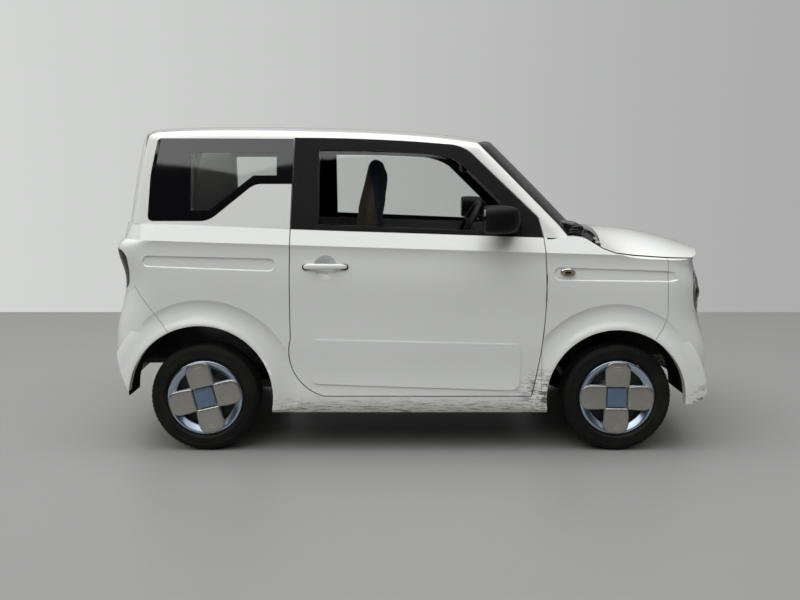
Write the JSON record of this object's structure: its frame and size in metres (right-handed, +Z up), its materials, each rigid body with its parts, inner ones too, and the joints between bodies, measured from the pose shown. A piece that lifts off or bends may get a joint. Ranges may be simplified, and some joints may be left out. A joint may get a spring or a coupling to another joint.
{
  "type": "city car",
  "caption": "Small two-door electric city car with opening doors, hood and tailgate, steered front wheels and a hollow cabin.",
  "frame": {"origin": "on the ground, halfway along and halfway across the car", "axes": "+X points forward, +Y to the left, +Z up"},
  "size_m": [3.0616, 1.84, 1.5999],
  "materials": {
    "paint": "gloss",
    "paint_plastic": "gloss",
    "black_trim": "satin",
    "liner": "matt",
    "glass_clear": "polished",
    "glass_dark": "polished",
    "lamp_front": "polished",
    "lamp_rear": "polished",
    "lamp_side": "polished",
    "underbody": "matt",
    "steel": "satin",
    "rubber": "matt",
    "rim_paint": "satin",
    "cover_plastic": "satin",
    "seat_fabric": "woven",
    "cabin_plastic": "grained",
    "wheel_grip": "grained",
    "battery_case": "cast",
    "motor_case": "cast"
  },
  "bodies": {
    "body": {"body_side_right": "paint", "body_side_left": "paint", "roof_panel": "paint", "windscreen": "glass_clear", "quarter_glass": "glass_dark", "cowl_panel": "black_trim", "bulkhead": "underbody", "front_tub": "underbody", "fender_right": "paint", "fender_left": "paint", "front_bumper": "paint_plastic", "rear_bumper": "paint_plastic", "headlamps": "lamp_front", "tail_lamps": "lamp_rear", "side_repeaters": "lamp_side", "wheel_liners": "liner", "floor_pan": "underbody", "battery_pack": "battery_case", "drive_motor": "motor_case", "front_suspension": "steel", "strut_rods": "steel", "rear_axle": "steel", "front_seats": "seat_fabric", "seat_frames": "cabin_plastic", "rear_bench": "seat_fabric", "dashboard": "cabin_plastic", "steering_column": "cabin_plastic", "hinge_pins": "steel"},
    "hood": {"hood": "paint"},
    "tailgate": {"tailgate": "paint", "rear_window": "glass_clear"},
    "steering_wheel": {"steering_wheel": "wheel_grip"},
    "door_right": {"door_right": "paint", "door_frame_right": "black_trim", "door_glass_right": "glass_clear", "door_mirror_right": "black_trim", "door_handle_right": "paint_plastic"},
    "knuckle_right": {"knuckle_right": "steel"},
    "door_left": {"door_left": "paint", "door_frame_left": "black_trim", "door_glass_left": "glass_clear", "door_mirror_left": "black_trim", "door_handle_left": "paint_plastic"},
    "knuckle_left": {"knuckle_left": "steel"},
    "wheel_front_right": {"tyre_front_right": "rubber", "rim_front_right": "rim_paint", "wheel_cover_front_right": "cover_plastic"},
    "wheel_front_left": {"tyre_front_left": "rubber", "rim_front_left": "rim_paint", "wheel_cover_front_left": "cover_plastic"},
    "wheel_rear_right": {"tyre_rear_right": "rubber", "rim_rear_right": "rim_paint", "wheel_cover_rear_right": "cover_plastic"},
    "wheel_rear_left": {"tyre_rear_left": "rubber", "rim_rear_left": "rim_paint", "wheel_cover_rear_left": "cover_plastic"}
  },
  "joints": [
    {"name": "steer_right", "type": "hinge", "parent": "body", "child": "knuckle_right", "pos_m": [0.997, -0.59, 0.17], "axis": [0, 0.2081, 0.9781], "range_deg": [-33, 33]},
    {"name": "steer_left", "type": "hinge", "parent": "body", "child": "knuckle_left", "pos_m": [0.997, 0.59, 0.17], "axis": [0, -0.2081, 0.9781], "range_deg": [-33, 33]},
    {"name": "steering_wheel_turn", "type": "hinge", "parent": "body", "child": "steering_wheel", "pos_m": [0.318, 0.37, 1.036], "axis": [-0.8722, 0, 0.4891], "range_deg": [-529, 529]},
    {"name": "wheel_front_right_spin", "type": "hinge", "parent": "knuckle_right", "child": "wheel_front_right", "pos_m": [0.997, -0.65, 0.267], "axis": [0, 1, 0], "continuous": true},
    {"name": "wheel_front_left_spin", "type": "hinge", "parent": "knuckle_left", "child": "wheel_front_left", "pos_m": [0.997, 0.65, 0.267], "axis": [0, 1, 0], "continuous": true},
    {"name": "wheel_rear_right_spin", "type": "hinge", "parent": "body", "child": "wheel_rear_right", "pos_m": [-1.018, -0.65, 0.267], "axis": [0, 1, 0], "continuous": true},
    {"name": "wheel_rear_left_spin", "type": "hinge", "parent": "body", "child": "wheel_rear_left", "pos_m": [-1.018, 0.65, 0.267], "axis": [0, 1, 0], "continuous": true},
    {"name": "door_right_hinge", "type": "hinge", "parent": "body", "child": "door_right", "pos_m": [0.6394, -0.7528, 0.7], "axis": [0, 0, 1], "range_deg": [0, 65]},
    {"name": "door_left_hinge", "type": "hinge", "parent": "body", "child": "door_left", "pos_m": [0.6394, 0.7528, 0.7], "axis": [0, 0, -1], "range_deg": [0, 65]},
    {"name": "hood_hinge", "type": "hinge", "parent": "body", "child": "hood", "pos_m": [0.893, 0, 1.02], "axis": [0, -1, 0], "range_deg": [0, 55]},
    {"name": "tailgate_hinge", "type": "hinge", "parent": "body", "child": "tailgate", "pos_m": [-1.2945, 0, 1.5895], "axis": [0, 1, 0], "range_deg": [0, 75]}
  ],
  "couplings": [
    {"joint": "steer_left", "follows": "steer_right", "ratio": 1},
    {"joint": "steering_wheel_turn", "follows": "steer_right", "ratio": 16}
  ]
}
